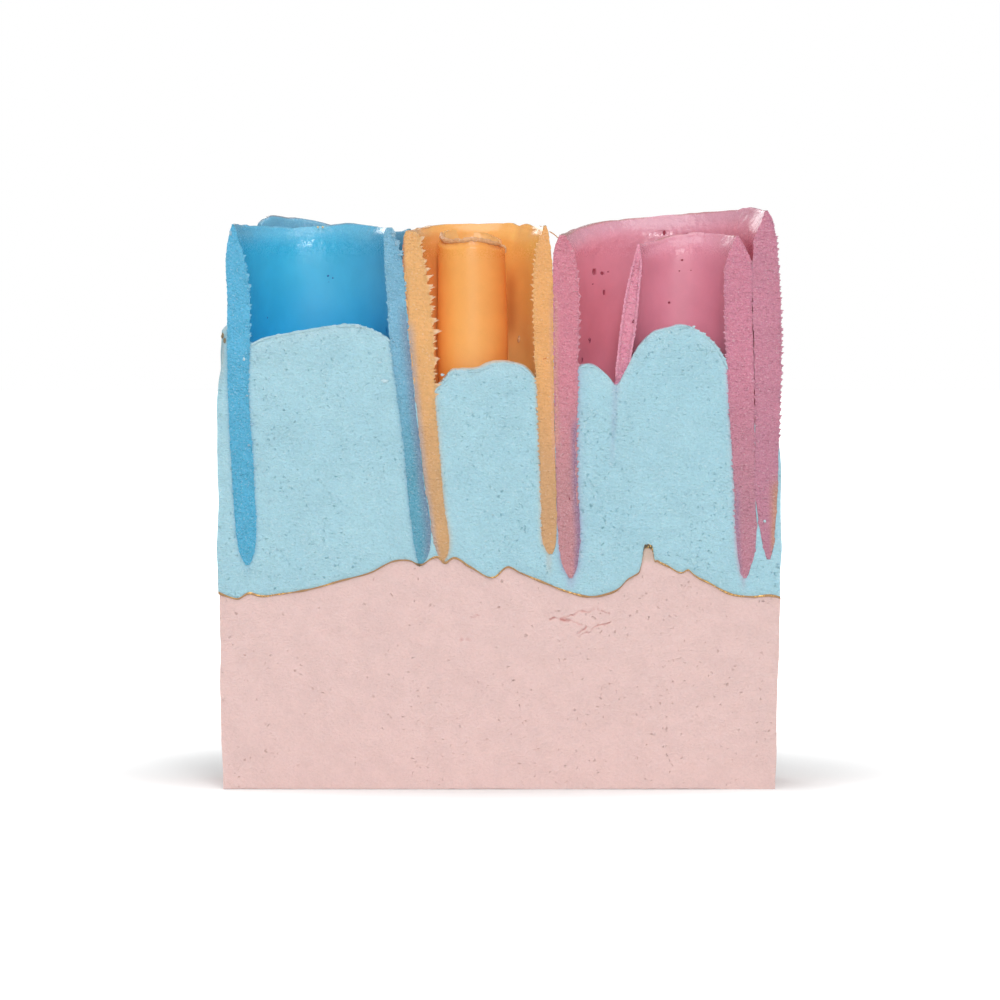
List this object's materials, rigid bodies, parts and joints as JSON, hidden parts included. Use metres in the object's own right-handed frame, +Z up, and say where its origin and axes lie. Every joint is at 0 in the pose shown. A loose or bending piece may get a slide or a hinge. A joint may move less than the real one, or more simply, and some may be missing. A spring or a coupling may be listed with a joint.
{
  "type": "handmade layered soap bar",
  "caption": "Slice of handmade layered soap with a wavy gold line between two pours and three rolled soap sheets standing open at the cut face.",
  "frame": {"origin": "middle of the resting face under the pink base, halfway between the two knife cuts", "axes": "+Z up, +X to the right across the loaf, -Y out of the cut face that shows the open rolls"},
  "size_m": [0.0818, 0.025, 0.0844],
  "materials": {
    "pink_base_soap": "pale pink cast soap, satin, cut with a blade",
    "gold_mica": "gold mica powder line, fine sparkle",
    "light_blue_soap": "pale blue cast soap, matte, finely pitted",
    "blue_sheet_soap": "rolled blue soap sheet, waxy skin, sandy cut edge",
    "orange_sheet_soap": "rolled orange soap sheet, waxy skin, torn sandy cut edge",
    "pink_sheet_soap": "rolled pink soap sheet, waxy skin, sandy cut edge"
  },
  "bodies": {
    "root": {"pink_base": "pink_base_soap", "gold_mica_line": "gold_mica", "light_blue_pour": "light_blue_soap", "blue_roll_wall": "blue_sheet_soap", "blue_roll_outer_wrap": "blue_sheet_soap", "orange_roll_wall": "orange_sheet_soap", "orange_roll_core": "orange_sheet_soap", "pink_roll_wall": "pink_sheet_soap", "pink_roll_core": "pink_sheet_soap"}
  },
  "joints": []
}
